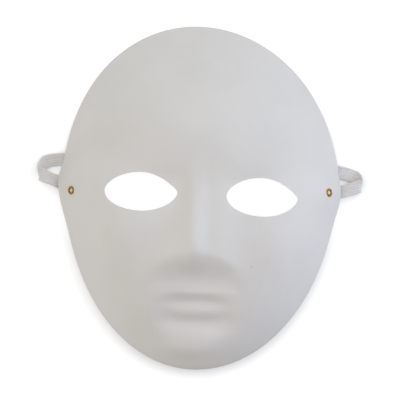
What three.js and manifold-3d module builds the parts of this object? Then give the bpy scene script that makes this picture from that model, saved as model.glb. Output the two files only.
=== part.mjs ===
// A blank pressed-paper face mask with a flat elastic band, lying on its back rim with the face up.
// Millimetres. +X runs across the face, +Y towards the forehead and +Z out of the face.
// The origin is on the plane that the rim lies on, below the middle of the oval.
import * as THREE from 'three';
import { mergeVertices } from 'three/addons/utils/BufferGeometryUtils.js';
import Module from 'manifold-3d';

// The oval outline: two half ellipses that meet on the widest line, a little wider at the temples
const HALF_WIDTH = 79.6;
const FOREHEAD_LENGTH = 90;
const JAW_LENGTH = 112;
const WIDEST_Y = (JAW_LENGTH - FOREHEAD_LENGTH) / 2;
const TEMPLE_FLARE = 2.4;
const TEMPLE_Y = 4.7;
const TEMPLE_REACH = 14;
const LEAN_TOP = -2.6;
const LEAN_CHIN = -2.2;

// The paper shell: its thickness, its dome and the shallow arch of the rim that the band passes under
const WALL = 1.6;
const DOME_HEIGHT = 37.5;
const SIDE_POWER = 1.7;
const CHIN_POWER_GAIN = 7.2;
const ARCH_LIFT = 6;
const ARCH_Y = 8;
const ARCH_HALF_LENGTH = 46;
const ARCH_POWER = 4;
const FEATURE_EDGE_POWER = 6;
const RIM_BAND_START = 0.86;

// The face is pressed a little off true in its oval
const FACE_ROLL = THREE.MathUtils.degToRad(-2.7);

// The relief of the face. Heights are above the dome, places are in the frame of the face, and reach
// is how far a form spreads from its middle.
const SOCKET = { height: -3.5, x: 22.7, y: 9.6, reachX: 16.3, reachY: 7.7 };
const BROW = { height: 4, y: 42.2, reachX: 70, reachY: 18.9 };
const DIP_ABOVE_NOSE = { height: -1.8, y: 11.4, reachX: 10.1, reachY: 12.8 };
const CHEEK = { height: 6.9, x: 55, y: -23.3, reachX: 32.6, reachY: 27.3 };
const NOSE = { top: 21.7, tip: -27.1, foot: -47.8, mostGrown: 1.45 };
const NOSE_RIDGE = {
  height: 5.5, x: -3.5, lean: -0.02, reachX: 5.3,
  growth: 0.73, shoulder: 2.5, end: -44, fade: 22.5,
};
const NOSE_FLANKS = {
  height: 9.1, x: 0.1, lean: 0.2, reachAtTop: 13.6,
  reachGain: 5.5, growth: 0.9, shoulder: 3.3,
};
const NOSE_UNDERSIDE = { x: -3.1, bow: 4.4, halfWidth: 18, spread: 18, crispness: 1.2 };
const MOUTH_HALF_WIDTH = 20;
const UPPER_LIP = { height: 0.5, y: -51.6, reachX: 17.6, reachY: 1.4 };
const MOUTH_LINE = { height: -2.1, x: -1.3, y: -56.5, reachX: 19, reachY: 3.3, bend: -1.2 };
const LOWER_LIP = { height: 2, x: -0.9, y: -63.7, slope: 0.03, reachX: 13.1, reachY: 3.8 };
const UNDER_LIP = {
  height: -6.3, x: -0.9, y: -67.2, slope: -0.02,
  reachX: 22, reachY: 8.4, bend: -0.8,
};
const CHIN = { height: 6, x: -9, y: -87, reachX: 21.1, reachY: 6 };

// The eye holes: one cutter makes both, so they aren't mirrored
const EYE_SPACING = 67.7;
const EYE_MIDDLE_X = -0.3;
const EYE_Y = 2.8;
const EYE_LINE_TILT = THREE.MathUtils.degToRad(-2.9);
const EYE_HALF_LENGTH = 20.3;
const EYE_HALF_HEIGHT = 10.7;
const EYE_FULLNESS = { topLeft: 0.68, topRight: 1.08, bottomRight: 0.67, bottomLeft: 0.48 };
const EYE_TIP_ROUNDNESS = 0.6;
const EYE_ARC_STEPS = 10;

// The eyelets and the holes that they sit in
const EYELET_PLACES = { left: new THREE.Vector2(-74.3, 5.1), right: new THREE.Vector2(73.5, 3.8) };
const EYELET_BORE_RADIUS = 1.25;
const EYELET_BARREL_RADIUS = 1.7;
const EYELET_FLANGE_RADIUS = 2.5;
const EYELET_ROLL = 0.7;
const EYELET_SEGMENTS = 20;
const GAP = 0.3;
const HOLE_RADIUS = EYELET_BARREL_RADIUS + GAP;
const HOLE_SEGMENTS = 16;

// The flat elastic band
const BAND_WIDTH = 7.5;
const BAND_THICKNESS = 1.2;
const BAND_EDGE = 0.35;
const BAND_STEPS = 80;
const HELD_SHARE = 0.045;
const FOLD_STEEPNESS = 0.5;
const BAND_CLEARANCE = 0.7;
const BAND_DEPTH_BELOW_FACE = WALL + BAND_CLEARANCE + BAND_THICKNESS / 2;

// The mesh of the shell: cells across and along, closer together over the nose and the mouth
const CELLS_ACROSS = 36;
const CELLS_ALONG = 42;
const ACROSS_CROWDING = 0.3;
const ALONG_CROWDING = 0.4;
const CROWDED_BELOW_MIDDLE = 0.55;

const wasm = await Module();
wasm.setup();

const PAPER = new THREE.MeshStandardMaterial({ color: 0xd9d8d5, roughness: 0.92, metalness: 0 });
const BRASS = new THREE.MeshStandardMaterial({ color: 0xb98a2e, roughness: 0.35, metalness: 1 });
const ELASTIC = new THREE.MeshStandardMaterial({ color: 0xe2e1e0, roughness: 0.85, metalness: 0 });

// Curves that the relief is made of

function bell(t) {
  return Math.exp(-t * t);
}

function flatBell(t) {
  return Math.exp(-(t ** 4));
}

function smoothRise(t) {
  return THREE.MathUtils.smoothstep(t, 0, 1);
}

// The oval as a unit disc: place on the disc to place on the table, and back

function halfWidthAt(y) {
  return HALF_WIDTH + TEMPLE_FLARE * bell((y - TEMPLE_Y) / TEMPLE_REACH);
}

function leanAt(discY) {
  return (discY > 0 ? LEAN_TOP : LEAN_CHIN) * discY * discY;
}

function discToPlan(discX, discY) {
  const y = WIDEST_Y + discY * (discY > 0 ? FOREHEAD_LENGTH : JAW_LENGTH);
  return new THREE.Vector2(leanAt(discY) + discX * halfWidthAt(y), y);
}

function planToDisc(x, y) {
  const above = y - WIDEST_Y;
  const discY = above / (above > 0 ? FOREHEAD_LENGTH : JAW_LENGTH);
  return new THREE.Vector2((x - leanAt(discY)) / halfWidthAt(y), discY);
}

// The relief of the face, in the frame of the face

function eyeCentre(side) {
  const half = side * EYE_SPACING / 2;
  const x = EYE_MIDDLE_X + half * Math.cos(EYE_LINE_TILT);
  return new THREE.Vector2(x, EYE_Y + half * Math.sin(EYE_LINE_TILT));
}

function mound(form, x, y) {
  return form.height * bell((x - (form.x ?? 0)) / form.reachX) * bell((y - form.y) / form.reachY);
}

function pairOfMounds(form, x, y) {
  return mound(form, x, y) + mound(form, -x, y);
}

// A bar across the face with blunt ends, which may slope, and bend towards the corners of the mouth
function crossBar(form, x, y) {
  const away = x - (form.x ?? 0);
  const bend = (form.bend ?? 0) * (away / MOUTH_HALF_WIDTH) ** 2;
  const middleY = form.y + (form.slope ?? 0) * away + bend;
  return form.height * bell((y - middleY) / form.reachY) * flatBell(away / form.reachX);
}

// Level across the middle of the form and falling off past its reach, on a slightly leaning line
function noseSlope(form, x, y, reachX) {
  const away = x - form.x - form.lean * (y - NOSE.tip);
  return Math.exp(-(Math.abs(away / reachX) ** form.shoulder));
}

// A narrow ridge on broad flanks. Below the tip the ridge fades out, and the flanks fall back to the
// lip along a half moon.
function noseRelief(x, y) {
  const grown = THREE.MathUtils.clamp((NOSE.top - y) / (NOSE.top - NOSE.tip), 0, NOSE.mostGrown);
  const ridge = NOSE_RIDGE.height * grown ** NOSE_RIDGE.growth
    * noseSlope(NOSE_RIDGE, x, y, NOSE_RIDGE.reachX)
    * smoothRise((y - NOSE_RIDGE.end) / NOSE_RIDGE.fade);
  const flankReach = NOSE_FLANKS.reachAtTop + NOSE_FLANKS.reachGain * grown;
  const flanks = NOSE_FLANKS.height * grown ** NOSE_FLANKS.growth * noseSlope(NOSE_FLANKS, x, y, flankReach);
  const away = (x - NOSE_UNDERSIDE.x) / NOSE_UNDERSIDE.halfWidth;
  const edge = NOSE.tip - NOSE_UNDERSIDE.bow * away ** 2;
  const foot = NOSE.foot - NOSE_UNDERSIDE.spread * Math.max(Math.abs(away) - 1, 0) ** 2;
  const risen = THREE.MathUtils.clamp((y - foot) / (edge - foot), 0, 1);
  return ridge + flanks * smoothRise(risen ** NOSE_UNDERSIDE.crispness);
}

function faceRelief(x, y) {
  const c = Math.cos(-FACE_ROLL);
  const s = Math.sin(-FACE_ROLL);
  const fx = x * c - (y - EYE_Y) * s;
  const fy = x * s + (y - EYE_Y) * c + EYE_Y;
  const mounds = mound(DIP_ABOVE_NOSE, fx, fy) + mound(CHIN, fx, fy);
  const pairs = pairOfMounds(SOCKET, fx, fy) + pairOfMounds(CHEEK, fx, fy);
  const bars = [BROW, UPPER_LIP, MOUTH_LINE, LOWER_LIP, UNDER_LIP]
    .reduce((sum, form) => sum + crossBar(form, fx, fy), 0);
  return mounds + pairs + bars + noseRelief(fx, fy);
}

// The outer surface

function rimHeight(y) {
  const t = (y - ARCH_Y) / ARCH_HALF_LENGTH;
  return Math.abs(t) < 1 ? ARCH_LIFT * Math.cos(t * Math.PI / 2) ** 2 : 0;
}

function outerHeight(x, y) {
  const disc = planToDisc(x, y);
  const rho = Math.max(disc.length(), 1e-6);
  const downwards = (1 - disc.y / rho) / 2;
  const power = SIDE_POWER + CHIN_POWER_GAIN * downwards ** 3;
  const dome = DOME_HEIGHT * (1 - rho ** power);
  const relief = faceRelief(x, y) * (1 - rho ** FEATURE_EDGE_POWER);
  return dome + relief + rimHeight(y) * rho ** ARCH_POWER;
}

function outerPoint(x, y) {
  return new THREE.Vector3(x, y, outerHeight(x, y));
}

function outerNormal(x, y) {
  const step = 0.05;
  const slopeX = (outerHeight(x + step, y) - outerHeight(x - step, y)) / (2 * step);
  const slopeY = (outerHeight(x, y + step) - outerHeight(x, y - step)) / (2 * step);
  return new THREE.Vector3(-slopeX, -slopeY, 1).normalize();
}

// A point of the inner surface: one wall thickness below the outer one. Near the rim it slides up
// the wall, so that the rim ends in a level band.
function innerPoint(x, y) {
  const normal = outerNormal(x, y);
  const rho = planToDisc(x, y).length();
  const flat = Math.hypot(normal.x, normal.y);
  const point = outerPoint(x, y).addScaledVector(normal, -WALL);
  const nearRim = smoothRise((rho - RIM_BAND_START) / (1 - RIM_BAND_START));
  if (nearRim > 0) {
    const upWall = new THREE.Vector3(-normal.x * normal.z, -normal.y * normal.z, flat * flat);
    point.addScaledVector(upWall, nearRim * WALL * normal.z / flat ** 2);
  }
  if (rho > 1 - 1e-9) {
    point.z = rimHeight(y);
  }
  return point;
}

// Solids: to the boolean library and back

function positionsOnly(geometry) {
  const bare = geometry.clone();
  bare.deleteAttribute('normal');
  bare.deleteAttribute('uv');
  return mergeVertices(bare, 1e-4);
}

function toSolid(geometry) {
  const merged = positionsOnly(geometry);
  return new wasm.Manifold(new wasm.Mesh({
    numProp: 3,
    vertProperties: new Float32Array(merged.attributes.position.array),
    triVerts: new Uint32Array(merged.index.array),
  }));
}

function toGeometry(solid) {
  const mesh = solid.getMesh();
  const geometry = new THREE.BufferGeometry();
  geometry.setAttribute('position', new THREE.BufferAttribute(new Float32Array(mesh.vertProperties), 3));
  geometry.setIndex(new THREE.BufferAttribute(new Uint32Array(mesh.triVerts), 1));
  geometry.computeVertexNormals();
  return geometry;
}

// The paper shell

function gridPlace(i, j) {
  const across = 2 * i / CELLS_ACROSS - 1;
  const along = 2 * j / CELLS_ALONG - 1;
  const u = across * (1 - ACROSS_CROWDING) + ACROSS_CROWDING * across ** 3;
  const wave = (t) => Math.sin(Math.PI * (t - CROWDED_BELOW_MIDDLE));
  const v = along + ALONG_CROWDING / Math.PI * (wave(along) - wave(1));
  return discToPlan(u * Math.sqrt(1 - v * v / 2), v * Math.sqrt(1 - u * u / 2));
}

function shellGeometry() {
  const positions = [];
  const index = [];
  const rows = CELLS_ALONG + 1;
  const layer = (CELLS_ACROSS + 1) * rows;
  const at = (i, j, inner) => inner * layer + i * rows + j;
  for (const pointOf of [outerPoint, innerPoint]) {
    for (let i = 0; i <= CELLS_ACROSS; i += 1) {
      for (let j = 0; j <= CELLS_ALONG; j += 1) {
        const place = gridPlace(i, j);
        positions.push(...pointOf(place.x, place.y).toArray());
      }
    }
  }
  const addTriangle = (a, b, c, inner) => (inner ? index.push(c, b, a) : index.push(a, b, c));
  for (const inner of [0, 1]) {
    for (let i = 0; i < CELLS_ACROSS; i += 1) {
      for (let j = 0; j < CELLS_ALONG; j += 1) {
        const corners = [at(i, j, inner), at(i + 1, j, inner), at(i + 1, j + 1, inner), at(i, j + 1, inner)];
        const rising = (i < CELLS_ACROSS / 2) === (j < CELLS_ALONG / 2);
        const turn = rising ? 0 : 1;
        const [a, b, c, d] = corners.map((_, k) => corners[(k + turn) % 4]);
        addTriangle(a, b, c, inner);
        addTriangle(a, c, d, inner);
      }
    }
  }
  const rim = [];
  for (let i = 0; i < CELLS_ACROSS; i += 1) rim.push([i, 0]);
  for (let j = 0; j < CELLS_ALONG; j += 1) rim.push([CELLS_ACROSS, j]);
  for (let i = CELLS_ACROSS; i > 0; i -= 1) rim.push([i, CELLS_ALONG]);
  for (let j = CELLS_ALONG; j > 0; j -= 1) rim.push([0, j]);
  rim.forEach(([i, j], k) => {
    const [nextI, nextJ] = rim[(k + 1) % rim.length];
    index.push(at(nextI, nextJ, 0), at(i, j, 0), at(i, j, 1));
    index.push(at(nextI, nextJ, 0), at(i, j, 1), at(nextI, nextJ, 1));
  });
  const geometry = new THREE.BufferGeometry();
  geometry.setAttribute('position', new THREE.Float32BufferAttribute(positions, 3));
  geometry.setIndex(index);
  return geometry;
}

// How high the hole's edge is, from 0 at the tip to 1, where a plain ellipse would have this height
function eyeEdgeHeight(height, fullness) {
  const rounded = (EYE_TIP_ROUNDNESS * height) ** 2;
  return Math.sqrt((height ** (4 * fullness) + rounded) / (1 + EYE_TIP_ROUNDNESS ** 2));
}

// One quarter of the eye hole's edge: a low fullness makes a rounder end, and 1 a more pointed one
function eyeQuarter(signX, signY, fullness, reversed) {
  const points = [];
  for (let k = 0; k < EYE_ARC_STEPS; k += 1) {
    const turn = (reversed ? EYE_ARC_STEPS - k : k) / EYE_ARC_STEPS;
    const along = Math.sin(turn * Math.PI / 2);
    const height = eyeEdgeHeight(Math.sqrt(Math.max(1 - along * along, 0)), fullness);
    points.push(new THREE.Vector2(signX * along * EYE_HALF_LENGTH, signY * height * EYE_HALF_HEIGHT));
  }
  return points;
}

function eyeCutter(side) {
  const edge = [
    ...eyeQuarter(1, 1, EYE_FULLNESS.topRight, false),
    ...eyeQuarter(1, -1, EYE_FULLNESS.bottomRight, true),
    ...eyeQuarter(-1, -1, EYE_FULLNESS.bottomLeft, false),
    ...eyeQuarter(-1, 1, EYE_FULLNESS.topLeft, true),
  ];
  const depth = 2 * DOME_HEIGHT;
  const cutter = new THREE.ExtrudeGeometry(new THREE.Shape(edge), { depth, bevelEnabled: false });
  const centre = eyeCentre(side);
  cutter.rotateZ(EYE_LINE_TILT);
  cutter.translate(centre.x, centre.y, 0);
  return toSolid(cutter);
}

// Moves a shape that is turned about +Y so that it stands on the wall at an eyelet, pointing out
function standOnWall(geometry, place) {
  const normal = outerNormal(place.x, place.y);
  const turn = new THREE.Quaternion().setFromUnitVectors(new THREE.Vector3(0, 1, 0), normal);
  const centre = outerPoint(place.x, place.y);
  return geometry.clone().applyQuaternion(turn).translate(centre.x, centre.y, centre.z);
}

function holeCutter(place) {
  const cutter = new THREE.CylinderGeometry(HOLE_RADIUS, HOLE_RADIUS, 12, HOLE_SEGMENTS);
  return toSolid(standOnWall(cutter, place));
}

function maskShell() {
  let shell = toSolid(shellGeometry());
  for (const side of [-1, 1]) {
    shell = shell.subtract(eyeCutter(side));
  }
  for (const place of Object.values(EYELET_PLACES)) {
    shell = shell.subtract(holeCutter(place));
  }
  return new THREE.Mesh(toGeometry(shell), PAPER);
}

// An eyelet: a barrel with a rolled flange on the face and a flared one behind the band
function eyeletMesh(place) {
  const front = GAP;
  const back = -(WALL + BAND_CLEARANCE + BAND_THICKNESS + GAP);
  const roll = EYELET_ROLL;
  const profile = [
    [EYELET_BORE_RADIUS, back - roll * 0.7],
    [EYELET_BORE_RADIUS, front + roll * 0.6],
    [EYELET_BORE_RADIUS + roll * 0.35, front + roll],
    [EYELET_FLANGE_RADIUS - roll * 0.35, front + roll],
    [EYELET_FLANGE_RADIUS, front + roll * 0.5],
    [EYELET_FLANGE_RADIUS - roll * 0.2, front],
    [EYELET_BARREL_RADIUS, front],
    [EYELET_BARREL_RADIUS, back],
    [EYELET_FLANGE_RADIUS - roll * 0.2, back],
    [EYELET_FLANGE_RADIUS, back - roll * 0.4],
    [EYELET_FLANGE_RADIUS - roll * 0.4, back - roll],
    [EYELET_BORE_RADIUS + roll * 0.3, back - roll],
    [EYELET_BORE_RADIUS, back - roll * 0.7],
  ];
  const outline = profile.reverse().map(([r, h]) => new THREE.Vector2(r, h));
  const turned = new THREE.LatheGeometry(outline, EYELET_SEGMENTS);
  return new THREE.Mesh(positionsOnly(standOnWall(turned, place)), BRASS);
}

// The band's route. Each end lies against the back of the wall, runs down it and out under the rim,
// turns over in a loop beside the mask, and the two meet flat on the table behind the forehead.

function againstWall(place, outwards, forwards) {
  const side = Math.sign(place.x);
  const normal = outerNormal(place.x, place.y);
  const down = new THREE.Vector3(side * normal.z, 0, -Math.abs(normal.x)).normalize();
  return outerPoint(place.x, place.y)
    .addScaledVector(normal, -BAND_DEPTH_BELOW_FACE)
    .addScaledVector(down, outwards)
    .add(new THREE.Vector3(0, forwards, 0));
}

const LEFT_LOOP = [
  [-79.0, 8.4, 3.7], [-82.4, 10.1, 3.9], [-86.0, 11.7, 5.4], [-89.2, 13.1, 7.0], [-92.0, 14.5, 7.2],
  [-93.6, 16.3, 6.1], [-93.8, 18.2, 4.4], [-93.0, 19.9, 2.8], [-91.0, 21.4, 1.9], [-88.0, 22.5, 1.7],
  [-83.0, 23.2, 1.8], [-76.0, 23.4, 1.65],
];
const TABLE_RUN = [
  [-69.0, 23.6, 1.15], [-61.0, 24.0, 0.8], [-52.0, 24.4, 0.7], [-34.0, 25.0, 0.7], [-14.0, 25.2, 0.7],
  [8.0, 24.8, 0.7], [30.0, 23.2, 0.7], [50.0, 20.8, 0.7], [60.0, 19.3, 0.7], [68.0, 18.0, 0.75],
];
const RIGHT_LOOP = [
  [75.0, 16.8, 0.9], [82.0, 15.6, 1.05], [86.6, 14.4, 1.05], [89.4, 13.3, 1.15], [91.9, 12.2, 1.65],
  [93.5, 10.9, 2.7], [93.9, 9.7, 3.8], [93.5, 8.5, 4.8], [92.1, 7.4, 5.4], [89.2, 6.3, 5.5],
  [86.2, 5.4, 5.2], [83.2, 4.6, 4.5], [80.2, 4.1, 3.9],
];

// How far the band rolls about its own length in each loop: to which angle, at which share of the
// length from its end, and over what share
const BAND_ROLL = {
  left: { angle: THREE.MathUtils.degToRad(18), middle: 0.197, reach: 0.041 },
  right: { angle: THREE.MathUtils.degToRad(5), middle: 0.195, reach: 0.03 },
};

function bandRoute() {
  const { left, right } = EYELET_PLACES;
  const points = [
    againstWall(left, -6, -3.2),
    againstWall(left, 0, 0),
    againstWall(left, 3.4, 2),
    ...[...LEFT_LOOP, ...TABLE_RUN, ...RIGHT_LOOP].map((p) => new THREE.Vector3(...p)),
    againstWall(right, 3.6, 0.8),
    againstWall(right, 0, 0),
    againstWall(right, -6, -0.9),
  ];
  return new BandCurve(points, false, 'centripetal');
}

// A path that keeps the band's width as near to the Y direction as the path allows, and at each
// end flat against the wall
class BandCurve extends THREE.CatmullRomCurve3 {
  computeFrenetFrames(steps) {
    const frames = { tangents: [], normals: [], binormals: [] };
    const { left, right } = EYELET_PLACES;
    for (let k = 0; k <= steps; k += 1) {
      const t = k / steps;
      const tangent = this.getTangentAt(t);
      const fromEnd = Math.min(t, 1 - t);
      const wall = t < 0.5 ? outerNormal(left.x, left.y) : outerNormal(right.x, right.y);
      const { angle, middle, reach } = t < 0.5 ? BAND_ROLL.left : BAND_ROLL.right;
      const held = 1 - smoothRise((fromEnd - HELD_SHARE) / HELD_SHARE);
      const roll = angle * bell((fromEnd - middle) / reach);
      const across = new THREE.Vector3(0, 1, Math.tan(roll) - held * wall.y / wall.z);
      across.addScaledVector(tangent, -across.dot(tangent));
      across.x *= held + (1 - held) * (1 - smoothRise(Math.abs(tangent.z) / FOLD_STEEPNESS));
      across.normalize();
      frames.tangents.push(tangent);
      frames.normals.push(across);
      frames.binormals.push(new THREE.Vector3().crossVectors(tangent, across).normalize());
    }
    return frames;
  }
}

function bandSection() {
  const w = BAND_WIDTH / 2;
  const t = BAND_THICKNESS / 2;
  const e = BAND_EDGE;
  const corners = [
    [w, -t + e], [w, t - e], [w - e, t], [-w + e, t],
    [-w, t - e], [-w, -t + e], [-w + e, -t], [w - e, -t],
  ];
  return new THREE.Shape(corners.map(([x, y]) => new THREE.Vector2(x, y)));
}

function elasticStrap() {
  const swept = new THREE.ExtrudeGeometry(bandSection(), { steps: BAND_STEPS, extrudePath: bandRoute() });
  let band = toSolid(swept);
  for (const place of Object.values(EYELET_PLACES)) {
    band = band.subtract(holeCutter(place));
  }
  return new THREE.Mesh(toGeometry(band), ELASTIC);
}

function named(name, mesh) {
  mesh.name = name;
  return mesh;
}

const mask = new THREE.Group();
mask.add(named('mask_shell', maskShell()));
mask.add(named('eyelet_left', eyeletMesh(EYELET_PLACES.left)));
mask.add(named('eyelet_right', eyeletMesh(EYELET_PLACES.right)));
mask.add(named('elastic_strap', elasticStrap()));

export default mask;
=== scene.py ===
import math

import bmesh
import bpy
import numpy as np
from bpy.props import FloatProperty, FloatVectorProperty, IntProperty, PointerProperty
from mathutils import Matrix, Vector, noise


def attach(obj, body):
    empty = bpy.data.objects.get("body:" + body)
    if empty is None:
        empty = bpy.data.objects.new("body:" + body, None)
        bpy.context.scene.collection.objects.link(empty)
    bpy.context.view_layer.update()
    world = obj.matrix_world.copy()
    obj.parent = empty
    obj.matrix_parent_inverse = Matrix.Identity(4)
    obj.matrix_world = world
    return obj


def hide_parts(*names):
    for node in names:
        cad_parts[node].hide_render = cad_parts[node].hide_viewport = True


bl_info = {
    "name": "Paintable craft mask",
    "version": (1, 0, 0),
    "blender": (4, 5, 0),
    "location": "View3D > Sidebar > Craft mask",
    "description": "A blank pressed-paper face mask with brass eyelets and a flat elastic band",
    "category": "Add Mesh",
}

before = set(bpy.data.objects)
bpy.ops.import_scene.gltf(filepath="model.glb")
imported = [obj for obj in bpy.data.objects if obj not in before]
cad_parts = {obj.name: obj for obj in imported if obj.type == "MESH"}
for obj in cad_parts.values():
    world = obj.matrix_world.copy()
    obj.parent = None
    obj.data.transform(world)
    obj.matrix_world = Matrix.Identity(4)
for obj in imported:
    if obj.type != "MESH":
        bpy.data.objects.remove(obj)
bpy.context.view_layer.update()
MM = 0.001

# The pressed face. Sizes are in millimetres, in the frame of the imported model. The outline is two
# half ellipses that meet on the widest line, a little wider at the temples and a little off true.
# Where the band comes out, the whole shell is pushed a little to the left.
HALF_WIDTH = 79.6
FOREHEAD_LENGTH = 90
JAW_LENGTH = 110.6
WIDEST_Y = 11
TEMPLE_FLARE = 2.4
TEMPLE_Y = 4.7
TEMPLE_REACH = 14
LEAN_TOP = -2.6
LEAN_CHIN = -2.2
SIDE_PUSH = dict(shift=-1.0, y=12.5, reach=7)

DOME_HEIGHT = 37.5
SIDE_POWER = 1.7
CHIN_POWER_GAIN = 7.2
ARCH_LIFT = 6
ARCH_Y = 8
ARCH_HALF_LENGTH = 46
ARCH_POWER = 4
FEATURE_EDGE_POWER = 6
RIM_BAND_START = 0.86
FACE_ROLL = math.radians(-2.7)

# The relief of the face. Heights are above the dome, places are in the frame of the face, and
# reach is how far a form spreads from its middle.
SOCKET = dict(height=-3.5, x=22.7, y=9.6, reach_x=16.3, reach_y=7.7)
BROW = dict(height=4, y=42.2, reach_x=70, reach_y=18.9)
DIP_ABOVE_NOSE = dict(height=-1.8, y=11.4, reach_x=10.1, reach_y=12.8)
CHEEK = dict(height=6.9, x=55, y=-23.3, reach_x=32.6, reach_y=27.3)
NOSE = dict(top=20.6, tip=-27.1, foot=-47.8, most_grown=1.45, soft_start=0.09)
NOSE_RIDGE = dict(
    height=5.5, x=-3.5, lean=-0.02, reach_x=5.3,
    growth=0.73, shoulder=2.5, end=-44, fade=22.5)
NOSE_FLANKS = dict(height=9.1, x=0.1, lean=0.2, reach_at_top=13.6, reach_gain=5.5, growth=0.9, shoulder=3.3)
NOSE_UNDERSIDE = dict(x=-3.1, bow=4.4, half_width=18, spread=18, crispness=1.2)
MOUTH_HALF_WIDTH = 20
UPPER_LIP = dict(height=0.5, y=-51.6, reach_x=17.6, reach_y=1.4)
MOUTH_LINE = dict(height=-2.1, x=-1.3, y=-56.5, reach_x=19, reach_y=3.3, bend=-1.2)
LOWER_LIP = dict(height=2, x=-0.9, y=-63.7, slope=0.03, reach_x=13.1, reach_y=3.8)
UNDER_LIP = dict(height=-6.3, x=-0.9, y=-67.2, slope=-0.02, reach_x=22, reach_y=8.4, bend=-0.8)
CHIN = dict(height=6, x=-9, y=-87, reach_x=21.1, reach_y=6)

# The paper isn't quite even: slow waves from the mould, and faint lumps in the pulp
PULP_WAVES = dict(height=0.16, size=26, seed=3.0)
PULP_LUMPS = dict(height=0.035, size=5.5, seed=11.0)

# A tiny grey fleck in the pulp beside the mouth
FLECK = Vector((26.9, -37.2, 39.8))

# The eye holes, cut with one cutter, so that they aren't mirrored. Fullness is that of each quarter,
# cells is the block of the grid that a hole takes out, and near is how far its edge may lie.
EYE_SPACING = 67.7
EYE_MIDDLE_X = -0.3
EYE_Y = 2.8
EYE_LINE_TILT = math.radians(-2.9)
EYE_HALF_LENGTH = 20.3
EYE_HALF_HEIGHT = 10.7
EYE_FULLNESS = {(1, 1): 1.08, (1, -1): 0.67, (-1, -1): 0.48, (-1, 1): 0.68}
EYE_TIP_ROUNDNESS = 0.6
EYE_CELLS = (25, 16)
EYE_RINGS = 8
EYE_NEAR = 34

# The eyelets: their holes, the small gaps to the paper and the band, and the smaller roll at the back
EYELET_PLACES = {"left": (-74.3, 5.1), "right": (73.5, 3.8)}
EYELET_HOLE_RADIUS = 1.85
EYELET_CELLS = (4, 4)
EYELET_RINGS = 3
EYELET_NEAR = 6.9
FRONT_GAP = 0.03
BACK_GAP = 0.05
BACK_ROLL_WIDTH = 0.97
BACK_ROLL_HEIGHT = 0.9
ROLL_STEPS = 8

# The grid that the shell is pressed from
CELLS_ACROSS = 164
CELLS_ALONG = 204

# The flat elastic band: how far behind the wall it is held, over which share of its length at each
# end, and how steep a fold is. The held points are how far down the wall and how far towards the
# forehead each lies from its eyelet, and the rest of the route is listed points.
BAND_CLEARANCE = 0.7
HELD_SHARE = 0.045
FOLD_STEEPNESS = 0.5
BAND_STEP = 0.7
CURVE_STEPS = 24
LEFT_HELD = [(-6, -3.2), (0, 0), (3.4, 2)]
RIGHT_HELD = [(3.6, 0.8), (0, 0), (-6, -0.9)]
LEFT_LOOP = [
    (-79.0, 8.4, 3.7), (-82.4, 10.1, 3.9), (-86.0, 11.7, 5.4), (-89.2, 13.1, 7.0), (-92.0, 14.5, 7.2),
    (-93.6, 16.3, 6.1), (-93.8, 18.2, 4.4), (-93.0, 19.9, 2.8), (-91.0, 21.4, 1.9), (-88.0, 22.5, 1.7),
    (-83.0, 23.2, 1.8), (-76.0, 23.4, 1.65),
]
TABLE_RUN = [
    (-69.0, 23.6, 1.15), (-61.0, 24.0, 0.8), (-52.0, 24.4, 0.7), (-34.0, 25.0, 0.7), (-14.0, 25.2, 0.7),
    (8.0, 24.8, 0.7), (30.0, 23.2, 0.7), (50.0, 20.8, 0.7), (60.0, 19.3, 0.7), (68.0, 18.0, 0.75),
]
RIGHT_LOOP = [
    (75.0, 16.8, 0.9), (82.0, 15.6, 1.05), (86.6, 14.4, 1.05), (89.4, 13.3, 1.15), (91.9, 12.2, 1.65),
    (93.5, 10.9, 2.7), (93.9, 9.7, 3.8), (93.5, 8.5, 4.8), (92.1, 7.4, 5.4), (89.2, 6.3, 5.5),
    (86.2, 5.4, 5.2), (83.2, 4.6, 4.5), (80.2, 4.1, 3.9),
]

# The section of the band: points to a rib, how blunt the ribs and the two edges are, and which
# shares of the thickness the edges, the flat and the ribs make up
RIB_STEPS = 8
RIB_BLUNTNESS = 0.7
EDGE_BLUNTNESS = 14
EDGE_SHARE = 0.34
FLAT_SHARE = 0.28
RIB_SHARE = 0.32

# The stub of elastic drawn into each eyelet's bore
STUB = dict(gap=0.06, depth=3.7, middle=-1.8, edge_round=0.4)

# How far the band rolls about its own length in each loop: to which angle, at which share of the
# length from its end, and over what share
BAND_ROLL = {
    "left": (math.radians(18), 0.197, 0.041),
    "right": (math.radians(5), 0.195, 0.03),
}


# Curves that the relief is made of

def bell(t):
    return np.exp(-t * t)


def flat_bell(t):
    return np.exp(-t**4)


def smooth_rise(t):
    t = np.clip(t, 0, 1)
    return t * t * (3 - 2 * t)


# The oval as a unit disc: place on the disc to place on the table, and back

def half_width_at(y):
    return HALF_WIDTH + TEMPLE_FLARE * bell((y - TEMPLE_Y) / TEMPLE_REACH)


def lean_at(disc_y, y):
    lean = np.where(disc_y > 0, LEAN_TOP, LEAN_CHIN) * disc_y * disc_y
    return lean + SIDE_PUSH["shift"] * bell((y - SIDE_PUSH["y"]) / SIDE_PUSH["reach"])


def disc_to_plan(disc_x, disc_y):
    y = WIDEST_Y + disc_y * np.where(disc_y > 0, FOREHEAD_LENGTH, JAW_LENGTH)
    return lean_at(disc_y, y) + disc_x * half_width_at(y), y


def plan_to_disc(x, y):
    above = y - WIDEST_Y
    disc_y = above / np.where(above > 0, FOREHEAD_LENGTH, JAW_LENGTH)
    return (x - lean_at(disc_y, y)) / half_width_at(y), disc_y


# The relief of the face, in the frame of the face

def mound(form, x, y):
    across = bell((x - form.get("x", 0)) / form["reach_x"])
    return form["height"] * across * bell((y - form["y"]) / form["reach_y"])


def pair_of_mounds(form, x, y):
    return mound(form, x, y) + mound(form, -x, y)


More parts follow.
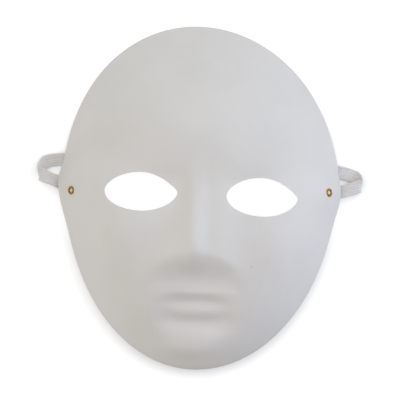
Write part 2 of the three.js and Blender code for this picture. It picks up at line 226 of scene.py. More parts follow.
def cross_bar(form, x, y):
    """A bar across the face with blunt ends, which may slope, and bend towards the corners of the mouth."""
    away = x - form.get("x", 0)
    bend = form.get("bend", 0) * (away / MOUTH_HALF_WIDTH) ** 2
    middle_y = form["y"] + form.get("slope", 0) * away + bend
    return form["height"] * bell((y - middle_y) / form["reach_y"]) * flat_bell(away / form["reach_x"])


def nose_slope(form, x, y, reach_x):
    """Level across the middle of the form and falling off past its reach, on a slightly leaning line."""
    away = x - form["x"] - form["lean"] * (y - NOSE["tip"])
    return np.exp(-np.abs(away / reach_x) ** form["shoulder"])


def nose_relief(x, y):
    """A narrow ridge on broad flanks. Below the tip the ridge fades out and the flanks fall back to the
    lip along a half moon."""
    below_top = (NOSE["top"] - y) / (NOSE["top"] - NOSE["tip"])
    grown = np.minimum((below_top + np.hypot(below_top, NOSE["soft_start"])) / 2, NOSE["most_grown"])
    ridge = NOSE_RIDGE["height"] * grown ** NOSE_RIDGE["growth"]
    ridge = ridge * nose_slope(NOSE_RIDGE, x, y, NOSE_RIDGE["reach_x"])
    ridge = ridge * smooth_rise((y - NOSE_RIDGE["end"]) / NOSE_RIDGE["fade"])
    flanks = NOSE_FLANKS["height"] * grown ** NOSE_FLANKS["growth"]
    flank_reach = NOSE_FLANKS["reach_at_top"] + NOSE_FLANKS["reach_gain"] * grown
    flanks = flanks * nose_slope(NOSE_FLANKS, x, y, flank_reach)
    under = NOSE_UNDERSIDE
    away = (x - under["x"]) / under["half_width"]
    edge = NOSE["tip"] - under["bow"] * away**2
    foot = NOSE["foot"] - under["spread"] * np.maximum(np.abs(away) - 1, 0) ** 2
    risen = np.clip((y - foot) / (edge - foot), 0, 1)
    return ridge + flanks * smooth_rise(risen ** under["crispness"])


def face_relief(x, y):
    c, s = math.cos(-FACE_ROLL), math.sin(-FACE_ROLL)
    fx = x * c - (y - EYE_Y) * s
    fy = x * s + (y - EYE_Y) * c + EYE_Y
    mounds = mound(DIP_ABOVE_NOSE, fx, fy) + mound(CHIN, fx, fy)
    pairs = pair_of_mounds(SOCKET, fx, fy) + pair_of_mounds(CHEEK, fx, fy)
    bars = sum(cross_bar(form, fx, fy) for form in (BROW, UPPER_LIP, MOUTH_LINE, LOWER_LIP, UNDER_LIP))
    return mounds + pairs + bars + nose_relief(fx, fy)


def rim_height(y):
    t = np.clip((y - ARCH_Y) / ARCH_HALF_LENGTH, -1, 1)
    return ARCH_LIFT * np.cos(t * math.pi / 2) ** 2


def outer_height(x, y):
    disc_x, disc_y = plan_to_disc(x, y)
    rho = np.maximum(np.hypot(disc_x, disc_y), 1e-6)
    downwards = (1 - disc_y / rho) / 2
    power = SIDE_POWER + CHIN_POWER_GAIN * downwards**3
    dome = DOME_HEIGHT * (1 - rho**power)
    relief = face_relief(x, y) * (1 - rho**FEATURE_EDGE_POWER)
    return dome + relief + rim_height(y) * rho**ARCH_POWER


def outer_normal(x, y):
    step = 0.05
    slope_x = (outer_height(x + step, y) - outer_height(x - step, y)) / (2 * step)
    slope_y = (outer_height(x, y + step) - outer_height(x, y - step)) / (2 * step)
    normal = np.stack([-slope_x, -slope_y, np.ones_like(slope_x)], -1)
    return normal / np.linalg.norm(normal, axis=-1, keepdims=True)


def outer_point(x, y):
    return Vector((x, y, float(outer_height(x, y))))


def wall_direction(x, y):
    return Vector(outer_normal(np.float64(x), np.float64(y)))


def pulp_at(form, x, y):
    size, seed = form["size"], form["seed"]
    spots = [noise.noise(Vector((px / size, py / size, seed))) for px, py in zip(x, y)]
    return form["height"] * np.array(spots)


# Working in edit mode as by hand

def start_afresh():
    if bpy.context.object and bpy.context.object.mode != "OBJECT":
        bpy.ops.object.mode_set(mode="OBJECT")
    bpy.ops.object.select_all(action="DESELECT")


def only(piece):
    start_afresh()
    piece.select_set(True)
    bpy.context.view_layer.objects.active = piece


def points_of(mesh):
    points = np.empty(len(mesh.vertices) * 3, np.float32)
    mesh.vertices.foreach_get("co", points)
    return points.reshape(-1, 3).astype(float)


def set_points(mesh, points):
    mesh.vertices.foreach_set("co", np.asarray(points, np.float32).ravel())
    mesh.update()


def apply_modifier(piece, kind, **settings):
    only(piece)
    modifier = piece.modifiers.new(kind.title(), kind)
    for name, value in settings.items():
        setattr(modifier, name, value)
    if bpy.ops.object.modifier_apply(modifier=modifier.name) != {"FINISHED"}:
        raise RuntimeError(f"{piece.name}: {kind} was not applied")


def face_outwards(piece):
    only(piece)
    bpy.ops.object.mode_set(mode="EDIT")
    bpy.ops.mesh.select_all(action="SELECT")
    bpy.ops.mesh.normals_make_consistent(inside=False)
    bpy.ops.object.mode_set(mode="OBJECT")


def stand_on_wall(piece, place):
    """Stands a piece on the front of the wall, with its Z axis square to it."""
    turn = Vector((0, 0, 1)).rotation_difference(wall_direction(*place))
    piece.matrix_world = Matrix.Translation(outer_point(*place) * MM) @ turn.to_matrix().to_4x4()


def shade(piece, angle):
    only(piece)
    bpy.ops.object.shade_smooth_by_angle(angle=angle)


def finish_piece(piece, material, replaced):
    piece.data.materials.clear()
    piece.data.materials.append(material)
    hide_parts(replaced)
    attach(piece, "root")


# Shader nodes

def new_material(name):
    material = bpy.data.materials.new(name)
    material.use_nodes = True
    tree = material.node_tree
    tree.nodes.clear()
    output = tree.nodes.new("ShaderNodeOutputMaterial")
    shader = tree.nodes.new("ShaderNodeBsdfPrincipled")
    tree.links.new(shader.outputs["BSDF"], output.inputs["Surface"])
    return material, tree, shader


def add_node(tree, kind, inputs=None, **settings):
    """A node with its settings, and its inputs given as values or as other nodes' outputs."""
    node = tree.nodes.new(kind)
    for name, value in settings.items():
        setattr(node, name, value)
    for name, value in (inputs or {}).items():
        if isinstance(value, bpy.types.NodeSocket):
            tree.links.new(value, node.inputs[name])
        else:
            node.inputs[name].default_value = value
    return node


def math_node(tree, operation, *values):
    return add_node(tree, "ShaderNodeMath", dict(enumerate(values)), operation=operation).outputs[0]


def bumps(tree, layers):
    """Bump nodes one on another, each from (height, strength, distance)."""
    normal = None
    for height, strength, distance in layers:
        inputs = {"Height": height, "Strength": strength, "Distance": distance}
        if normal is not None:
            inputs["Normal"] = normal
        normal = add_node(tree, "ShaderNodeBump", inputs).outputs["Normal"]
    return normal


# The paper

class MaskPaperSettings(bpy.types.PropertyGroup):
    wall: FloatProperty(
        name="Wall", description="Thickness of the pressed paper", default=1.6 * MM, unit="LENGTH")
    edge_round: FloatProperty(
        name="Edge rounding", description="How far the cut edges are worn round", default=0.35 * MM,
        unit="LENGTH")
    colour: FloatVectorProperty(
        name="Paper", description="Colour of the bare paper", default=(0.70, 0.69, 0.67), subtype="COLOR")
    shade_colour: FloatVectorProperty(
        name="Paper, greyer", description="Colour of the greyer clouds in the pulp",
        default=(0.665, 0.655, 0.635), subtype="COLOR")


def paper_material(settings):
    material, tree, shader = new_material("pressed_paper")
    place = add_node(tree, "ShaderNodeTexCoord").outputs["Object"]

    def clouds(scale, detail, roughness=0.6):
        inputs = {"Vector": place, "Scale": scale, "Detail": detail, "Roughness": roughness}
        return add_node(tree, "ShaderNodeTexNoise", inputs).outputs["Fac"]

    slow = clouds(38, 3)
    fine = clouds(900, 4)
    felt = clouds(2600, 2)
    cloud_range = add_node(tree, "ShaderNodeMapRange", {
        "Value": math_node(tree, "ADD", slow, math_node(tree, "MULTIPLY", fine, 0.35)),
        "From Min": 0.45, "From Max": 0.95,
    })
    colour = add_node(tree, "ShaderNodeMix", {
        "Factor": cloud_range.outputs["Result"],
        "A": (*settings.shade_colour, 1), "B": (*settings.colour, 1),
    }, data_type="RGBA")
    beside_fleck = add_node(tree, "ShaderNodeVectorMath", {0: place, 1: FLECK * MM}, operation="DISTANCE")
    fleck = add_node(tree, "ShaderNodeMapRange", {
        "Value": beside_fleck.outputs["Value"], "From Min": 0.3 * MM, "From Max": 0.9 * MM,
        "To Min": 0.12, "To Max": 0,
    })
    flecked = add_node(tree, "ShaderNodeMix", {
        "Factor": fleck.outputs["Result"], "A": colour.outputs["Result"], "B": (0, 0, 0, 1),
    }, data_type="RGBA")
    tree.links.new(flecked.outputs["Result"], shader.inputs["Base Color"])
    layers = [(slow, 0.12, 0.0006), (fine, 0.22, 0.0002), (felt, 0.18, 0.00008)]
    tree.links.new(bumps(tree, layers), shader.inputs["Normal"])
    shader.inputs["Roughness"].default_value = 0.92
    shader.inputs["Specular IOR Level"].default_value = 0.25
    return material


def eye_centre(side):
    half = side * EYE_SPACING / 2
    return Vector((EYE_MIDDLE_X + half * math.cos(EYE_LINE_TILT), EYE_Y + half * math.sin(EYE_LINE_TILT)))


def eye_edge_height(height, fullness):
    """How high the hole's edge is, from 0 at the tip to 1, where a plain ellipse would have this height."""
    rounded = (EYE_TIP_ROUNDNESS * height) ** 2
    return math.sqrt((height ** (4 * fullness) + rounded) / (1 + EYE_TIP_ROUNDNESS**2))


def on_eye_edge(start, centre, block):
    """The point of the eye hole's edge that a point of the block round it is joined to."""
    c, s = math.cos(EYE_LINE_TILT), math.sin(EYE_LINE_TILT)
    dx, dy = start[0] - centre.x, start[1] - centre.y
    turn = math.atan2((-dx * s + dy * c) / block[1], (dx * c + dy * s) / block[0])
    quarter = (1 if math.cos(turn) > 0 else -1, 1 if math.sin(turn) > 0 else -1)
    along = EYE_HALF_LENGTH * math.cos(turn)
    up = EYE_HALF_HEIGHT * quarter[1] * eye_edge_height(abs(math.sin(turn)), EYE_FULLNESS[quarter])
    return centre.x + along * c - up * s, centre.y + along * s + up * c


def on_eyelet_edge(start, centre, _block):
    """The same for an eyelet's hole, which is round on the sloping wall."""
    away = (Vector(start[:2]) - centre).normalized()
    normal = wall_direction(*centre)
    rise = -(normal.x * away.x + normal.y * away.y) / normal.z
    edge = centre + away * (EYELET_HOLE_RADIUS / math.hypot(1, rise))
    return edge.x, edge.y


def cut_block(sheet, centre, cells):
    """Takes a block of cells out of the sheet round a hole's centre. The sheet is still a square."""
    disc_x, disc_y = plan_to_disc(centre.x, centre.y)
    only(sheet)
    bpy.ops.object.mode_set(mode="EDIT")
    bpy.ops.mesh.select_all(action="DESELECT")
    grid = bmesh.from_edit_mesh(sheet.data)

    def distance(vertex):
        x, y = grid_to_disc(vertex.co.x, vertex.co.y)
        return math.hypot(x - disc_x, y - disc_y)

    middle = min(grid.verts, key=distance).co.copy()
    reach_x = (cells[0] + 0.5) * 2 / CELLS_ACROSS
    reach_y = (cells[1] + 0.5) * 2 / CELLS_ALONG
    for face in grid.faces:
        away = face.calc_center_median() - middle
        face.select = abs(away.x) < reach_x - 1 / CELLS_ACROSS and abs(away.y) < reach_y - 1 / CELLS_ALONG
    bmesh.update_edit_mesh(sheet.data)
    bpy.ops.mesh.delete(type="FACE")
    bpy.ops.object.mode_set(mode="OBJECT")


def draw_in_rings(sheet, centre, near, rings, edge_of, upright):
    """Extrudes the open edge round a block inwards, ring by ring, until it has the hole's outline."""
    only(sheet)
    bpy.ops.object.mode_set(mode="EDIT")
    bpy.ops.mesh.select_all(action="DESELECT")
    flat = bmesh.from_edit_mesh(sheet.data)
    open_edges = [
        edge for edge in flat.edges
        if edge.is_boundary and all((v.co.xy - centre).length < near for v in edge.verts)
    ]
    block = tuple(max(abs(v.co[k] - centre[k]) for e in open_edges for v in e.verts) for k in (0, 1))
    for edge in open_edges:
        edge.select = True
    bmesh.update_edit_mesh(sheet.data)
    for ring in range(1, rings + 1):
        bpy.ops.mesh.extrude_edges_move()
        flat = bmesh.from_edit_mesh(sheet.data)
        start_of = flat.verts.layers.float_vector["start"]
        upright_of = flat.verts.layers.float["upright"]
        share = ring / rings
        for vertex in flat.verts:
            if vertex.select:
                start = vertex[start_of]
                end = edge_of(start, centre, block)
                vertex.co.x = start[0] + (end[0] - start[0]) * share
                vertex.co.y = start[1] + (end[1] - start[1]) * share
                vertex[upright_of] = share if upright else 0
        bmesh.update_edit_mesh(sheet.data)
    bpy.ops.object.mode_set(mode="OBJECT")


def grid_to_disc(u, v):
    """A place on the square sheet, from -1 to 1, to a place on the unit disc."""
    return u * np.sqrt(1 - v * v / 2), v * np.sqrt(1 - u * u / 2)


def cut_sheet():
    """The flat sheet with the oval outline and its four holes, in millimetres."""
    start_afresh()
    bpy.ops.mesh.primitive_grid_add(x_subdivisions=CELLS_ACROSS, y_subdivisions=CELLS_ALONG, size=2)
    sheet = bpy.context.object
    eyes = [eye_centre(side) for side in (-1, 1)]
    eyelets = [Vector(place) for place in EYELET_PLACES.values()]
    for centre in eyes:
        cut_block(sheet, centre, EYE_CELLS)
    for centre in eyelets:
        cut_block(sheet, centre, EYELET_CELLS)
    points = points_of(sheet.data)
    disc_x, disc_y = grid_to_disc(points[:, 0], points[:, 1])
    points[:, 0], points[:, 1] = disc_to_plan(disc_x, disc_y)
    set_points(sheet.data, points)
    sheet.data.attributes.new("start", "FLOAT_VECTOR", "POINT").data.foreach_set("vector", points.ravel())
    sheet.data.attributes.new("upright", "FLOAT", "POINT")
    for centre in eyes:
        draw_in_rings(sheet, centre, EYE_NEAR, EYE_RINGS, on_eye_edge, True)
    for centre in eyelets:
        draw_in_rings(sheet, centre, EYELET_NEAR, EYELET_RINGS, on_eyelet_edge, False)
    return sheet


def inner_points(points, upright, wall):
    """The back of the wall for each point of its front: one wall thickness along the normal. Near the
    rim it slides up the wall, so that the rim ends in a level band, and at an eye hole it lies straight
    below."""
    x, y = points[:, 0], points[:, 1]
    normal = outer_normal(x, y)
    rho = np.hypot(*plan_to_disc(x, y))
    flat = np.maximum(np.hypot(normal[:, 0], normal[:, 1]), 1e-3)
    near_rim = smooth_rise((rho - RIM_BAND_START) / (1 - RIM_BAND_START))
    up_wall = np.stack([-normal[:, 0] * normal[:, 2], -normal[:, 1] * normal[:, 2], flat**2], -1)
    back = points - wall * normal + up_wall * (near_rim * wall * normal[:, 2] / flat**2)[:, None]
    on_rim = rho > 1 - 1e-5
    back[on_rim, 2] = rim_height(y[on_rim])
    below = points - np.stack([0 * x, 0 * x, wall / normal[:, 2]], -1)
    return back + (below - back) * upright[:, None]


def press_shell(sheet, wall):
    """Presses the flat sheet to the face and gives it its wall."""
    mesh = sheet.data
    points = points_of(mesh)
    upright = np.empty(len(points), np.float32)
    mesh.attributes["upright"].data.foreach_get("value", upright)
    x, y = points[:, 0], points[:, 1]
    rho = np.hypot(*plan_to_disc(x, y))
    pulp = pulp_at(PULP_WAVES, x, y) + pulp_at(PULP_LUMPS, x, y)
    points[:, 2] = outer_height(x, y) + pulp * (1 - np.minimum(rho, 1) ** FEATURE_EDGE_POWER)
    set_points(mesh, points)
    face_outwards(sheet)
    if sum(face.normal.z for face in mesh.polygons) < 0:
        mesh.flip_normals()
    apply_modifier(sheet, "SOLIDIFY", thickness=wall, offset=-1)
    walled = points_of(mesh)
    count = len(points)
    if len(walled) != 2 * count or np.abs(walled[:count] - points).max() > 1e-3:
        raise RuntimeError("the wall's back doesn't follow its front point by point")
    walled[count:] = inner_points(points, upright.astype(float), wall)
    set_points(mesh, walled * MM)
    for name in ("start", "upright"):
        mesh.attributes.remove(mesh.attributes[name])


class MASK_OT_paper_face(bpy.types.Operator):
    """Press the paper face and cut its eye holes and eyelet holes"""
    bl_idname = "craft_mask.paper_face"
    bl_label = "Paper face"

    def execute(self, context):
        settings = context.scene.mask_paper
        face = cut_sheet()
        face.name = face.data.name = "paper_face"
        press_shell(face, settings.wall / MM)
        apply_modifier(face, "BEVEL", width=settings.edge_round, segments=3, limit_method="ANGLE",
                       angle_limit=math.radians(35))
        shade(face, math.radians(40))
        finish_piece(face, paper_material(settings), "mask_shell")
        return {"FINISHED"}


# The brass eyelets

class MaskEyeletSettings(bpy.types.PropertyGroup):
    bore: FloatProperty(
        name="Bore", description="Radius of the hole through the eyelet", default=1.25 * MM, unit="LENGTH")
    barrel: FloatProperty(
        name="Barrel", description="Outer radius of the barrel", default=1.7 * MM, unit="LENGTH")
    flange: FloatProperty(
        name="Flange", description="Outer radius of the rolled flange", default=2.5 * MM, unit="LENGTH")
    roll: FloatProperty(
        name="Roll", description="Height of the rolled flange", default=0.5 * MM, unit="LENGTH")
    steps: IntProperty(
        name="Steps", description="Facets round the eyelet", default=56)
    colour: FloatVectorProperty(
        name="Brass", description="Colour of the brass", default=(0.43, 0.225, 0.022), subtype="COLOR")


def brass_material(settings):
    material, tree, shader = new_material("eyelet_brass")
    place = add_node(tree, "ShaderNodeTexCoord").outputs["Object"]
    tarnish = add_node(tree, "ShaderNodeTexNoise", {
        "Vector": place, "Scale": 700, "Detail": 3,
    }).outputs["Fac"]
    colour = add_node(tree, "ShaderNodeMix", {
        "Factor": tarnish,
        "A": (*[0.72 * part for part in settings.colour], 1), "B": (*settings.colour, 1),
    }, data_type="RGBA")
    rough = add_node(tree, "ShaderNodeMapRange", {"Value": tarnish, "To Min": 0.24, "To Max": 0.42})
    tree.links.new(colour.outputs["Result"], shader.inputs["Base Color"])
    tree.links.new(rough.outputs["Result"], shader.inputs["Roughness"])
    tree.links.new(bumps(tree, [(tarnish, 0.08, 0.0001)]), shader.inputs["Normal"])
    shader.inputs["Metallic"].default_value = 1
    return material


def half_roll(inner, outer, base, height):
    """Points over a rolled flange, from its inner foot to its outer one."""
    middle, reach = (inner + outer) / 2, (outer - inner) / 2
    turns = [math.pi * k / ROLL_STEPS for k in range(ROLL_STEPS + 1)]
    return [(middle - reach * math.cos(t), base + height * math.sin(t)) for t in turns]


def eyelet_section(settings, back):
    """The section as (radius, height) points, with the back roll's foot at the given height."""
    front = FRONT_GAP * MM
    rolled_front = half_roll(settings.bore, settings.flange, front, settings.roll)
    rolled_back = half_roll(
        settings.bore, settings.flange * BACK_ROLL_WIDTH, back, -settings.roll * BACK_ROLL_HEIGHT)
    return rolled_front + [(settings.barrel, front), (settings.barrel, back)] + rolled_back[::-1]


def spin_eyelet(settings, place, name):
    """Lays a ring of points into the section of the eyelet, spins it, and stands it on the wall."""
    paper, band = bpy.context.scene.mask_paper, bpy.context.scene.mask_band
    held = paper.wall + BAND_CLEARANCE * MM + band.thickness + BACK_GAP * MM
    section = eyelet_section(settings, -held)
    start_afresh()
    bpy.ops.mesh.primitive_circle_add(vertices=len(section), radius=settings.roll, fill_type="NOTHING")
    eyelet = bpy.context.object
    eyelet.name = eyelet.data.name = name
    set_points(eyelet.data, [(r, 0, h) for r, h in section])
    bpy.ops.object.mode_set(mode="EDIT")
    bpy.ops.mesh.select_all(action="SELECT")
    bpy.ops.mesh.spin(steps=settings.steps, angle=math.tau, center=(0, 0, 0), axis=(0, 0, 1))
    bpy.ops.mesh.select_all(action="SELECT")
    bpy.ops.mesh.remove_doubles(threshold=0.005 * MM)
    bpy.ops.object.mode_set(mode="OBJECT")
    face_outwards(eyelet)
    stand_on_wall(eyelet, place)
    bpy.ops.object.transform_apply(location=True, rotation=True, scale=True)
    shade(eyelet, math.radians(50))
    return eyelet


class MASK_OT_eyelets(bpy.types.Operator):
    """Spin the two brass eyelets and set them in the wall"""
    bl_idname = "craft_mask.eyelets"
    bl_label = "Brass eyelets"

    def execute(self, context):
        settings = context.scene.mask_eyelets
        material = brass_material(settings)
        for side, place in EYELET_PLACES.items():
            eyelet = spin_eyelet(settings, place, f"brass_eyelet_{side}")
            finish_piece(eyelet, material, f"eyelet_{side}")
        return {"FINISHED"}


# The elastic band

class MaskBandSettings(bpy.types.PropertyGroup):
    width: FloatProperty(
        name="Width", description="Width of the flat elastic", default=7.5 * MM, unit="LENGTH")
    thickness: FloatProperty(
        name="Thickness", description="Thickness of the flat elastic", default=1.2 * MM, unit="LENGTH")
    ribs: IntProperty(
        name="Ribs", description="Ribs along the elastic", default=5)
    stitch: FloatProperty(
        name="Stitch", description="Length of a stitch along a rib", default=0.62 * MM, unit="LENGTH")
    colour: FloatVectorProperty(
        name="Elastic", description="Colour of the elastic", default=(0.745, 0.73, 0.72), subtype="COLOR")


def held_points(place, depth, steps):
    """Points of the band where it lies behind the wall, at this depth under the wall's front."""
    normal = wall_direction(*place)
    side = math.copysign(1, place[0])
    down = Vector((side * normal.z, 0, -abs(normal.x))).normalized()
    middle = outer_point(*place) - normal * depth
    return [middle + down * outwards + Vector((0, forwards, 0)) for outwards, forwards in steps]


def band_points(settings):
    depth = (bpy.context.scene.mask_paper.wall + settings.thickness / 2) / MM + BAND_CLEARANCE
    return [
        *held_points(EYELET_PLACES["left"], depth, LEFT_HELD),
        *[Vector(p) for p in LEFT_LOOP + TABLE_RUN + RIGHT_LOOP],
        *held_points(EYELET_PLACES["right"], depth, RIGHT_HELD),
    ]


def curve_point(near, knots, t):
    """The point at t of the centripetal curve through four points, between the middle two."""
    def between(p, q, start, end):
        return (p * (end - t) + q * (t - start)) / (end - start)

    for gap in (1, 2):
        near = [between(p, q, knots[k], knots[k + gap]) for k, (p, q) in enumerate(zip(near, near[1:]))]
    return between(*near, knots[1], knots[2])


def smooth_line(points):
    """A smooth curve through the points, as evenly spaced points."""
    ends = [2 * points[0] - points[1], *points, 2 * points[-1] - points[-2]]
    line = []
    for near in zip(ends, ends[1:], ends[2:], ends[3:]):
        spans = [math.sqrt((q - p).length) for p, q in zip(near, near[1:])]
        knots = np.cumsum([0, *spans])
        near = [np.array(p) for p in near]
        stops = np.linspace(knots[1], knots[2], CURVE_STEPS, endpoint=False)
        line += [curve_point(near, knots, t) for t in stops]
    line = np.array([*line, np.array(points[-1])])
    along = np.concatenate([[0], np.cumsum(np.linalg.norm(np.diff(line, axis=0), axis=1))])
    at = np.linspace(0, along[-1], int(along[-1] / BAND_STEP) + 1)
    return np.stack([np.interp(at, along, line[:, k]) for k in range(3)], -1)


def band_frames(line):
    """For each point of the line, the directions across the band and through it."""
    tangent = np.gradient(line, axis=0)
    tangent /= np.linalg.norm(tangent, axis=1, keepdims=True)
    share = np.linspace(0, 1, len(line))
    held = 1 - smooth_rise((np.minimum(share, 1 - share) - HELD_SHARE) / HELD_SHARE)
    lean = np.empty(len(line))
    for side, part in (("left", share < 0.5), ("right", share >= 0.5)):
        normal = wall_direction(*EYELET_PLACES[side])
        angle, middle, reach = BAND_ROLL[side]
        roll = angle * bell((np.minimum(share, 1 - share)[part] - middle) / reach)
        lean[part] = np.tan(roll) - held[part] * normal.y / normal.z
    across = np.stack([0 * lean, 1 + 0 * lean, lean], -1)
    across -= tangent * (across * tangent).sum(1, keepdims=True)
    across[:, 0] *= held + (1 - held) * (1 - smooth_rise(np.abs(tangent[:, 2]) / FOLD_STEEPNESS))
    across /= np.linalg.norm(across, axis=1, keepdims=True)
    through = np.cross(tangent, across)
    return across, through / np.linalg.norm(through, axis=1, keepdims=True)


def band_section(settings):
    """The ribbed section as (across, through) points, in millimetres."""
    half = settings.width / MM / 2
    thick = settings.thickness / MM / 2
    steps = settings.ribs * RIB_STEPS
    top = []
    for k in range(steps + 1):
        s = -1 + 2 * k / steps
        rib = abs(math.cos(math.pi * (s + 1) / 2 * settings.ribs + math.pi / 2)) ** RIB_BLUNTNESS
        edge = max(1 - abs(s) ** EDGE_BLUNTNESS, 0)
        top.append((s * half, thick * (EDGE_SHARE + FLAT_SHARE * edge + RIB_SHARE * rib * edge)))
    return top + [(a, -t) for a, t in reversed(top)]


def elastic_material(settings):
    material, tree, shader = new_material("ribbed_elastic")
    place = add_node(tree, "ShaderNodeUVMap", uv_map="weave").outputs["UV"]
    stitches = add_node(tree, "ShaderNodeTexBrick", {
        "Vector": place, "Scale": 1, "Mortar Size": 0.1, "Mortar Smooth": 1,
        "Brick Width": settings.stitch / MM, "Row Height": settings.width / MM / settings.ribs,
        "Color1": (1, 1, 1, 1), "Color2": (0.8, 0.8, 0.8, 1), "Mortar": (0, 0, 0, 1),
    }, offset=0.5).outputs["Color"]
    fibres = add_node(tree, "ShaderNodeTexNoise", {"Vector": place, "Scale": 6, "Detail": 3}).outputs["Fac"]
    colour = add_node(tree, "ShaderNodeMix", {
        "Factor": stitches,
        "A": (*[0.86 * part for part in settings.colour], 1), "B": (*settings.colour, 1),
    }, data_type="RGBA")
    tree.links.new(colour.outputs["Result"], shader.inputs["Base Color"])
    layers = [(stitches, 0.4, 0.00012), (fibres, 0.25, 0.00006)]
    tree.links.new(bumps(tree, layers), shader.inputs["Normal"])
    shader.inputs["Roughness"].default_value = 0.8
    shader.inputs["Specular IOR Level"].default_value = 0.3
    shader.inputs["Sheen Weight"].default_value = 0.15
    return material


def sweep_band(settings, line):
    """Sweeps the ribbed section along the line, closed at both ends, with a map of its length."""
    section = band_section(settings)
    across, through = band_frames(line)
    around = len(section)
    shape = np.array(section)
    points = line[:, None] + across[:, None] * shape[None, :, :1] + through[:, None] * shape[None, :, 1:]
    faces = [
        (ring * around + k, ring * around + (k + 1) % around,
         (ring + 1) * around + (k + 1) % around, (ring + 1) * around + k)
        for ring in range(len(line) - 1) for k in range(around)
    ]
    last = (len(line) - 1) * around
    faces.append(tuple(range(around))[::-1])
    faces.append(tuple(last + k for k in range(around)))
    mesh = bpy.data.meshes.new("elastic_band")
    mesh.from_pydata((points.reshape(-1, 3) * MM).tolist(), [], faces)
    along = np.concatenate([[0], np.cumsum(np.linalg.norm(np.diff(line, axis=0), axis=1))])
    weave = mesh.uv_layers.new(name="weave")
    corner = np.empty(len(mesh.loops), np.int32)
    mesh.loops.foreach_get("vertex_index", corner)
    uv = np.stack([along[corner // around], shape[corner % around, 0]], -1)
    weave.data.foreach_set("uv", uv.astype(np.float32).ravel())
    band = bpy.data.objects.new("elastic_band", mesh)
    bpy.context.scene.collection.objects.link(band)
    face_outwards(band)
    return band


def punch_band(band):
    """Cuts the holes that the eyelets' barrels pass through."""
    for place in EYELET_PLACES.values():
        start_afresh()
        bpy.ops.mesh.primitive_cylinder_add(vertices=32, radius=EYELET_HOLE_RADIUS * MM, depth=10 * MM)
        punch = bpy.context.object
        stand_on_wall(punch, place)
        apply_modifier(band, "BOOLEAN", operation="DIFFERENCE", object=punch, solver="EXACT")
        bpy.data.objects.remove(punch)


def draw_through_eyelets(band, bore):
    """Adds the stub of the elastic that is drawn into each eyelet and shows white in its bore."""
    for place in EYELET_PLACES.values():
        start_afresh()
        bpy.ops.mesh.primitive_cylinder_add(
            vertices=24, radius=bore - STUB["gap"] * MM, depth=STUB["depth"] * MM,
            location=(0, 0, STUB["middle"] * MM))
        bpy.ops.object.transform_apply(location=True, rotation=False, scale=False)
        stub = bpy.context.object
        apply_modifier(stub, "BEVEL", width=STUB["edge_round"] * MM, segments=3)
        stand_on_wall(stub, place)
        stub.data.uv_layers[0].name = "weave"
        only(band)
        stub.select_set(True)
        bpy.ops.object.join()


class MASK_OT_elastic(bpy.types.Operator):
    """Lay the flat elastic band along its route and punch its two ends"""
    bl_idname = "craft_mask.elastic"
    bl_label = "Elastic band"

    def execute(self, context):
        settings = context.scene.mask_band
        line = smooth_line(band_points(settings))
        band = sweep_band(settings, line)
        punch_band(band)
        draw_through_eyelets(band, context.scene.mask_eyelets.bore)
        shade(band, math.radians(60))
        finish_piece(band, elastic_material(settings), "elastic_strap")
        return {"FINISHED"}


# The stage: camera, light and floor

class MaskStageSettings(bpy.types.PropertyGroup):
    distance: FloatProperty(
        name="Distance", description="From the camera to the table", default=0.646, unit="LENGTH")
    field: FloatProperty(
        name="Field", description="Width of the table that the picture shows", default=0.234, unit="LENGTH")
    yaw: FloatProperty(
        name="Yaw", description="How far the camera stands to the left", default=math.radians(1.5),
        subtype="ANGLE")
    softbox_size: FloatProperty(
        name="Softbox size", description="Diameter of each round softbox", default=0.3, unit="LENGTH")
    room_light: FloatProperty(
        name="Room light", description="Brightness of the pale room", default=1)
    floor_glow: FloatProperty(
        name="Floor glow", description="How strongly the white table glows of itself", default=0.77)
    # The table's glow carries painted shade: it is dimmed within this reach of the mask, and most on the
    # side away from the direction below.
    shade_reach: FloatProperty(
        name="Shade reach", description="How far from the mask the table is dimmer", default=8 * MM,
        unit="LENGTH")
    # The direction that the painted shade on the table leans towards, standing for where the light comes
    # from
    painted_shade_towards: FloatVectorProperty(
        name="Table light", description="Direction that most of the table's light comes from",
        default=(-0.07, 0.43, 0.9), subtype="DIRECTION")
    floor_colour: FloatVectorProperty(
        name="Floor glow colour", description="Colour of that glow", default=(0.97, 0.975, 0.99),
        subtype="COLOR")


LOOK_AT = Vector((-0.34, -0.43, 0)) * MM
SENSOR = 36
TABLE_SIZE = 6
TABLE_GAP = 0.1
TABLE_GREY = 0.4

# Softboxes as place, watts and colour, and the wide glows of a pale room as direction, strength
# and colour
SOFTBOXES = {
    "softbox_right": ((0.45, 0, 0.32), 0.88, (0.62, 0.70, 1)),
    "softbox_above": ((0, 0, 0.7), 1.1, (1, 0.975, 0.91)),
    "softbox_low_left": ((-0.36, -0.36, 0.34), 0.16, (1, 0.44, 0)),
}
ROOM_GLOWS = [
    ((0, 0, 1), 0.33, (1, 0.97, 0.905)),
    ((1, 1, 0.25), 1.38, (0.97, 0.985, 1)),
    ((-1, 0, 0.18), 1.31, (0.965, 0.98, 1)),
]
GLOW_NARROWNESS = 6


def add_camera(settings):
    """The camera looks down on the lying mask, from a little to the left."""
    bpy.ops.object.camera_add(location=(0, 0, 0))
    camera = bpy.context.object
    camera.name = "camera"
    camera.data.sensor_width = SENSOR
    camera.data.lens = SENSOR * settings.distance / settings.field
    back = Vector((-math.sin(settings.yaw), 0, math.cos(settings.yaw)))
    camera.location = LOOK_AT + back * settings.distance
    camera.rotation_euler = (0, -settings.yaw, 0)
    camera.data.clip_start = 0.01
    camera.data.clip_end = 20
    bpy.context.scene.camera = camera


def add_softbox(name, place, size, power, colour):
    bpy.ops.object.light_add(type="AREA", location=place)
    lamp = bpy.context.object
    lamp.name = name
    lamp.data.shape = "DISK"
    lamp.data.size = size
    lamp.data.energy = power
    lamp.data.color = colour
    lamp.rotation_euler = (-Vector(place)).to_track_quat("-Z", "Y").to_euler()
    lamp.visible_camera = False


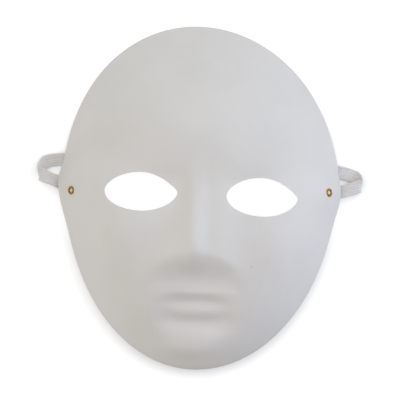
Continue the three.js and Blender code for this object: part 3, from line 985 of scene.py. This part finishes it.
def add_room(settings):
    """A pale room that is brighter overhead, on the left and on the upper right."""
    world = bpy.data.worlds.new("room")
    bpy.context.scene.world = world
    world.use_nodes = True
    tree = world.node_tree
    tree.nodes.clear()
    direction = add_node(tree, "ShaderNodeTexCoord").outputs["Generated"]
    light = (0, 0, 0)
    for towards, strength, colour in ROOM_GLOWS:
        facing = add_node(tree, "ShaderNodeVectorMath", {
            0: direction, 1: Vector(towards).normalized(),
        }, operation="DOT_PRODUCT").outputs["Value"]
        glow = math_node(tree, "POWER", math_node(tree, "MULTIPLY_ADD", facing, 0.5, 0.5), GLOW_NARROWNESS)
        tinted = add_node(tree, "ShaderNodeVectorMath", {
            0: [strength * part for part in colour], "Scale": glow,
        }, operation="SCALE").outputs["Vector"]
        both = add_node(tree, "ShaderNodeVectorMath", {0: tinted, 1: light}, operation="ADD")
        light = both.outputs["Vector"]
    background = add_node(tree, "ShaderNodeBackground", {"Color": light})
    background.inputs["Strength"].default_value = settings.room_light
    output = add_node(tree, "ShaderNodeOutputWorld")
    tree.links.new(background.outputs["Background"], output.inputs["Surface"])


def add_floor(settings):
    """A white table that glows a little, with painted shade in its glow: the glow is dimmed close to what
    lies on it, most on the side away from the light.
    """
    bpy.ops.mesh.primitive_plane_add(size=TABLE_SIZE, location=(0, 0, -TABLE_GAP * MM))
    floor = bpy.context.object
    floor.name = "table"
    material, tree, shader = new_material("white_table")
    shader.inputs["Base Color"].default_value = (TABLE_GREY, TABLE_GREY, TABLE_GREY, 1)
    shader.inputs["Roughness"].default_value = 1
    shader.inputs["Specular IOR Level"].default_value = 0
    shader.inputs["Emission Color"].default_value = (*settings.floor_colour, 1)
    # Painted contact shade: the glow is scaled by how open the table is near the mask, measured leaning
    # towards the light
    painted_shade_lean = add_node(tree, "ShaderNodeCombineXYZ", dict(zip("XYZ", settings.painted_shade_towards)))
    painted_shade_openness = add_node(tree, "ShaderNodeAmbientOcclusion", {
        "Distance": settings.shade_reach, "Normal": painted_shade_lean.outputs["Vector"],
    }, samples=16)
    glow = math_node(tree, "MULTIPLY", painted_shade_openness.outputs["AO"], settings.floor_glow)
    tree.links.new(glow, shader.inputs["Emission Strength"])
    floor.data.materials.append(material)


class MASK_OT_stage(bpy.types.Operator):
    """Set up the camera, the soft light and the white table"""
    bl_idname = "craft_mask.stage"
    bl_label = "Stage"

    def execute(self, context):
        settings = context.scene.mask_stage
        start_afresh()
        add_camera(settings)
        add_room(settings)
        for name, (place, power, colour) in SOFTBOXES.items():
            add_softbox(name, place, settings.softbox_size, power, colour)
        add_floor(settings)
        view = context.scene.view_settings
        view.view_transform = "Standard"
        view.look = "None"
        return {"FINISHED"}


class MASK_PT_parts(bpy.types.Panel):
    """Lists the makers of the mask's parts"""
    bl_idname = "MASK_PT_parts"
    bl_label = "Craft mask"
    bl_space_type = "VIEW_3D"
    bl_region_type = "UI"
    bl_category = "Craft mask"

    def draw(self, context):
        for maker in MAKERS:
            self.layout.operator(maker.bl_idname)


MAKERS = (MASK_OT_stage, MASK_OT_elastic, MASK_OT_paper_face, MASK_OT_eyelets)
SETTINGS = {
    "mask_stage": MaskStageSettings,
    "mask_band": MaskBandSettings,
    "mask_paper": MaskPaperSettings,
    "mask_eyelets": MaskEyeletSettings,
}
CLASSES = (*SETTINGS.values(), *MAKERS, MASK_PT_parts)


def register():
    for cls in CLASSES:
        bpy.utils.register_class(cls)
    for name, group in SETTINGS.items():
        setattr(bpy.types.Scene, name, PointerProperty(type=group))


def unregister():
    for name in SETTINGS:
        delattr(bpy.types.Scene, name)
    for cls in reversed(CLASSES):
        bpy.utils.unregister_class(cls)


def make_mask():
    register()
    for maker in MAKERS:
        _, operator = maker.bl_idname.split(".")
        getattr(bpy.ops.craft_mask, operator)()


if __name__ == "__main__":
    make_mask()
